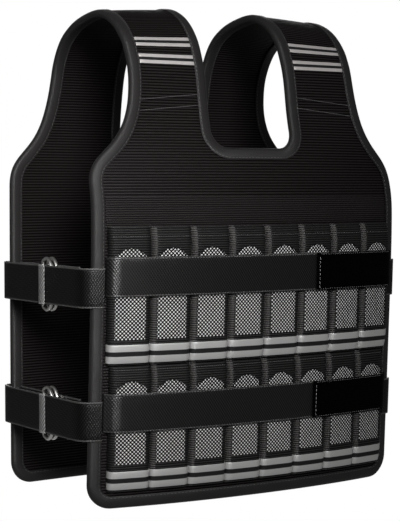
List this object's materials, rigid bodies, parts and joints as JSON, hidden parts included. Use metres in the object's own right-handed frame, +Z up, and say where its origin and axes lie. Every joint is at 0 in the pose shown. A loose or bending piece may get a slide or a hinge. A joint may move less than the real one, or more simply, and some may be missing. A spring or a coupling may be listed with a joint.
{
  "type": "weighted vest",
  "caption": "Padded weighted vest with taped edges, rows of loaded pockets with mesh windows, reflective ribbons, webbing belts and ring cinches at one side.",
  "frame": {"origin": "between the shoulder straps, midway across, level with the undersides of their crests, where the vest sits on the shoulders", "axes": "+Z up, -Y towards the wearer's front, +X towards the wearer's left"},
  "size_m": [0.4255, 0.2504, 0.5532],
  "materials": {
    "ribbed_cloth": "matte ribbed black cloth",
    "binding_tape": "matte dark grey tape",
    "pocket_cloth": "matte black cloth",
    "pack_cloth": "matte black pouch cloth",
    "window_mesh": "light grey mesh over black",
    "reflective_tape": "silver reflective tape",
    "webbing": "matte black webbing",
    "nickel_wire": "polished nickel plate"
  },
  "bodies": {
    "root": {"front_panel": "ribbed_cloth", "back_panel": "ribbed_cloth", "shoulder_strap_left": "ribbed_cloth", "shoulder_strap_right": "ribbed_cloth", "outer_binding": "binding_tape", "neck_binding": "binding_tape", "pocket_strip_upper": "pocket_cloth", "weight_pack_upper_1": "pack_cloth", "mesh_window_upper_1": "window_mesh", "weight_pack_upper_2": "pack_cloth", "mesh_window_upper_2": "window_mesh", "weight_pack_upper_3": "pack_cloth", "mesh_window_upper_3": "window_mesh", "weight_pack_upper_4": "pack_cloth", "mesh_window_upper_4": "window_mesh", "weight_pack_upper_5": "pack_cloth", "mesh_window_upper_5": "window_mesh", "weight_pack_upper_6": "pack_cloth", "mesh_window_upper_6": "window_mesh", "weight_pack_upper_7": "pack_cloth", "mesh_window_upper_7": "window_mesh", "weight_pack_upper_8": "pack_cloth", "mesh_window_upper_8": "window_mesh", "pocket_ribbon_upper": "reflective_tape", "pocket_strip_lower": "pocket_cloth", "weight_pack_lower_1": "pack_cloth", "mesh_window_lower_1": "window_mesh", "weight_pack_lower_2": "pack_cloth", "mesh_window_lower_2": "window_mesh", "weight_pack_lower_3": "pack_cloth", "mesh_window_lower_3": "window_mesh", "weight_pack_lower_4": "pack_cloth", "mesh_window_lower_4": "window_mesh", "weight_pack_lower_5": "pack_cloth", "mesh_window_lower_5": "window_mesh", "weight_pack_lower_6": "pack_cloth", "mesh_window_lower_6": "window_mesh", "weight_pack_lower_7": "pack_cloth", "mesh_window_lower_7": "window_mesh", "weight_pack_lower_8": "pack_cloth", "mesh_window_lower_8": "window_mesh", "pocket_ribbon_lower": "reflective_tape", "shoulder_tape_left_lower": "reflective_tape", "shoulder_tape_left_upper": "reflective_tape", "shoulder_tape_right_lower": "reflective_tape", "shoulder_tape_right_upper": "reflective_tape", "front_belt_upper": "webbing", "closure_tab_upper": "webbing", "side_strap_upper": "webbing", "rear_belt_upper": "webbing", "ring_upper_outer": "nickel_wire", "ring_upper_inner": "nickel_wire", "front_belt_lower": "webbing", "closure_tab_lower": "webbing", "side_strap_lower": "webbing", "rear_belt_lower": "webbing", "ring_lower_outer": "nickel_wire", "ring_lower_inner": "nickel_wire"}
  },
  "joints": []
}
